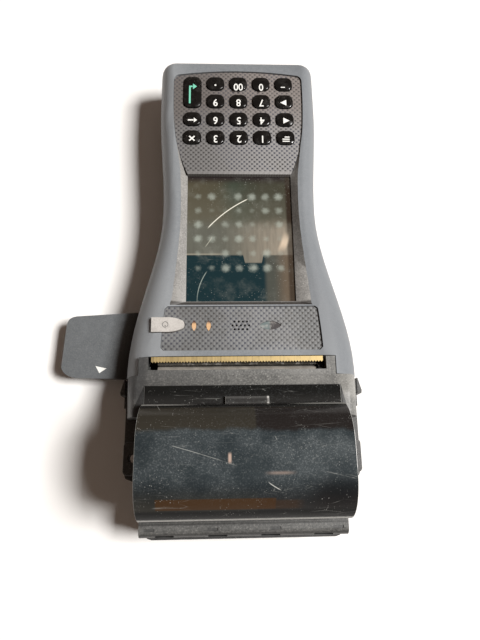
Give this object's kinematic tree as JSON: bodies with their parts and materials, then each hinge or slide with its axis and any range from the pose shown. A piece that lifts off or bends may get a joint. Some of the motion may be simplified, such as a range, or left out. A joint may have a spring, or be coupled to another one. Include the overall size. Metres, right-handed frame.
{
  "type": "handheld printer terminal",
  "caption": "Handheld data terminal with keypad, display, thermal printer under a hinged smoked cover, card guide, release levers and battery door.",
  "frame": {"origin": "on the flat outer face of the battery cover, on the centre line of the case", "axes": "+Y towards the printer end, +Z out of the display, +X to the right for a user who holds it upright"},
  "size_m": [0.1506, 0.2551, 0.056],
  "materials": {
    "case_plastic": "fine matt slate grey",
    "panel_plastic": "woven pattern print, satin",
    "dark_plastic": "fine spark texture",
    "touch_glass": "gloss, scratched",
    "display_module": "satin",
    "keypad_rubber": "matt",
    "circuit_board": "satin",
    "amber_window": "gloss",
    "blue_window": "satin",
    "steel": "plain",
    "silver_button": "silver paint",
    "brass": "satin",
    "ceramic_head": "glazed",
    "gear_plastic": "satin",
    "platen_rubber": "fine ground",
    "smoked_window": "gloss, scratched",
    "battery_wrap": "matt",
    "red_window": "gloss",
    "key_plastic": "gloss"
  },
  "bodies": {
    "case": {"top_case": "case_plastic", "lower_case": "case_plastic", "front_panel": "panel_plastic", "display_glass": "touch_glass", "lcd_module": "display_module", "keypad_mat": "keypad_rubber", "keypad_board": "circuit_board", "main_board": "circuit_board", "led_windows": "amber_window", "sensor_window": "blue_window", "speaker": "steel", "tear_blade": "brass", "thermal_head": "ceramic_head", "head_heatsink": "steel", "head_springs": "steel", "printer_chassis": "steel", "feed_motor": "steel", "idler_post": "steel", "hinge_pin": "steel", "paper_tray": "dark_plastic", "battery_pack": "battery_wrap", "battery_contacts": "brass", "scan_engine": "dark_plastic", "scan_window": "red_window", "card_guide": "case_plastic", "card_head": "steel", "strap_lugs": "dark_plastic", "case_screws": "steel", "dock_connector": "dark_plastic"},
    "lid": {"lid_frame": "dark_plastic", "lid_window": "smoked_window", "platen_bushes": "dark_plastic"},
    "platen": {"platen_shaft": "steel", "platen_roller": "platen_rubber", "platen_gear": "gear_plastic"},
    "idler": {"idler_gear": "gear_plastic"},
    "pinion": {"motor_pinion": "gear_plastic"},
    "levers": {"release_shaft": "steel", "release_levers": "dark_plastic"},
    "battery_door": {"battery_cover": "case_plastic"},
    "power_key": {"power_button": "silver_button"},
    "key_fn_cap": {"key_fn": "key_plastic"},
    "key_1_cap": {"key_1": "key_plastic"},
    "key_2_cap": {"key_2": "key_plastic"},
    "key_3_cap": {"key_3": "key_plastic"},
    "key_clear_cap": {"key_clear": "key_plastic"},
    "key_up_arrow_cap": {"key_up_arrow": "key_plastic"},
    "key_4_cap": {"key_4": "key_plastic"},
    "key_5_cap": {"key_5": "key_plastic"},
    "key_6_cap": {"key_6": "key_plastic"},
    "key_back_cap": {"key_back": "key_plastic"},
    "key_down_arrow_cap": {"key_down_arrow": "key_plastic"},
    "key_7_cap": {"key_7": "key_plastic"},
    "key_8_cap": {"key_8": "key_plastic"},
    "key_9_cap": {"key_9": "key_plastic"},
    "key_minus_cap": {"key_minus": "key_plastic"},
    "key_0_cap": {"key_0": "key_plastic"},
    "key_00_cap": {"key_00": "key_plastic"},
    "key_dot_cap": {"key_dot": "key_plastic"},
    "key_enter_cap": {"key_enter": "key_plastic"}
  },
  "joints": [
    {"name": "lid_hinge", "type": "hinge", "parent": "case", "child": "lid", "pos_m": [0, 0.155, 0.0215], "axis": [1, 0, 0], "range_deg": [-100, 0]},
    {"name": "platen_spin", "type": "hinge", "parent": "lid", "child": "platen", "pos_m": [0.0023, 0.0863, 0.0255], "axis": [1, 0, 0], "continuous": true},
    {"name": "idler_spin", "type": "hinge", "parent": "case", "child": "idler", "pos_m": [0, 0.0863, 0.0123], "axis": [1, 0, 0], "continuous": true},
    {"name": "pinion_spin", "type": "hinge", "parent": "case", "child": "pinion", "pos_m": [0, 0.07574, 0.01005], "axis": [1, 0, 0], "continuous": true},
    {"name": "release_pull", "type": "hinge", "parent": "case", "child": "levers", "pos_m": [0, 0.098, 0.0126], "axis": [1, 0, 0], "range_deg": [-15, 0], "stiffness_Nm_per_rad": 0.05, "springref_deg": 5.73},
    {"name": "battery_door_slide", "type": "slide", "parent": "case", "child": "battery_door", "axis": [0, -1, 0], "range_m": [0, 0.012]},
    {"name": "power_press", "type": "slide", "parent": "case", "child": "power_key", "axis": [0, 0, -1], "range_m": [0, 0.0006], "stiffness_N_per_m": 600, "springref_m": -0.0002},
    {"name": "key_fn_press", "type": "slide", "parent": "case", "child": "key_fn_cap", "axis": [0, 0, -1], "range_m": [0, 0.0007], "stiffness_N_per_m": 600, "springref_m": -0.0002},
    {"name": "key_1_press", "type": "slide", "parent": "case", "child": "key_1_cap", "axis": [0, 0, -1], "range_m": [0, 0.0007], "stiffness_N_per_m": 600, "springref_m": -0.0002},
    {"name": "key_2_press", "type": "slide", "parent": "case", "child": "key_2_cap", "axis": [0, 0, -1], "range_m": [0, 0.0007], "stiffness_N_per_m": 600, "springref_m": -0.0002},
    {"name": "key_3_press", "type": "slide", "parent": "case", "child": "key_3_cap", "axis": [0, 0, -1], "range_m": [0, 0.0007], "stiffness_N_per_m": 600, "springref_m": -0.0002},
    {"name": "key_clear_press", "type": "slide", "parent": "case", "child": "key_clear_cap", "axis": [0, 0, -1], "range_m": [0, 0.0007], "stiffness_N_per_m": 600, "springref_m": -0.0002},
    {"name": "key_up_arrow_press", "type": "slide", "parent": "case", "child": "key_up_arrow_cap", "axis": [0, 0, -1], "range_m": [0, 0.0007], "stiffness_N_per_m": 600, "springref_m": -0.0002},
    {"name": "key_4_press", "type": "slide", "parent": "case", "child": "key_4_cap", "axis": [0, 0, -1], "range_m": [0, 0.0007], "stiffness_N_per_m": 600, "springref_m": -0.0002},
    {"name": "key_5_press", "type": "slide", "parent": "case", "child": "key_5_cap", "axis": [0, 0, -1], "range_m": [0, 0.0007], "stiffness_N_per_m": 600, "springref_m": -0.0002},
    {"name": "key_6_press", "type": "slide", "parent": "case", "child": "key_6_cap", "axis": [0, 0, -1], "range_m": [0, 0.0007], "stiffness_N_per_m": 600, "springref_m": -0.0002},
    {"name": "key_back_press", "type": "slide", "parent": "case", "child": "key_back_cap", "axis": [0, 0, -1], "range_m": [0, 0.0007], "stiffness_N_per_m": 600, "springref_m": -0.0002},
    {"name": "key_down_arrow_press", "type": "slide", "parent": "case", "child": "key_down_arrow_cap", "axis": [0, 0, -1], "range_m": [0, 0.0007], "stiffness_N_per_m": 600, "springref_m": -0.0002},
    {"name": "key_7_press", "type": "slide", "parent": "case", "child": "key_7_cap", "axis": [0, 0, -1], "range_m": [0, 0.0007], "stiffness_N_per_m": 600, "springref_m": -0.0002},
    {"name": "key_8_press", "type": "slide", "parent": "case", "child": "key_8_cap", "axis": [0, 0, -1], "range_m": [0, 0.0007], "stiffness_N_per_m": 600, "springref_m": -0.0002},
    {"name": "key_9_press", "type": "slide", "parent": "case", "child": "key_9_cap", "axis": [0, 0, -1], "range_m": [0, 0.0007], "stiffness_N_per_m": 600, "springref_m": -0.0002},
    {"name": "key_minus_press", "type": "slide", "parent": "case", "child": "key_minus_cap", "axis": [0, 0, -1], "range_m": [0, 0.0007], "stiffness_N_per_m": 600, "springref_m": -0.0002},
    {"name": "key_0_press", "type": "slide", "parent": "case", "child": "key_0_cap", "axis": [0, 0, -1], "range_m": [0, 0.0007], "stiffness_N_per_m": 600, "springref_m": -0.0002},
    {"name": "key_00_press", "type": "slide", "parent": "case", "child": "key_00_cap", "axis": [0, 0, -1], "range_m": [0, 0.0007], "stiffness_N_per_m": 600, "springref_m": -0.0002},
    {"name": "key_dot_press", "type": "slide", "parent": "case", "child": "key_dot_cap", "axis": [0, 0, -1], "range_m": [0, 0.0007], "stiffness_N_per_m": 600, "springref_m": -0.0002},
    {"name": "key_enter_press", "type": "slide", "parent": "case", "child": "key_enter_cap", "axis": [0, 0, -1], "range_m": [0, 0.0007], "stiffness_N_per_m": 600, "springref_m": -0.0002}
  ],
  "couplings": [
    {"joint": "idler_spin", "follows": "platen_spin", "ratio": -0.83333},
    {"joint": "pinion_spin", "follows": "platen_spin", "ratio": 1.6667}
  ]
}
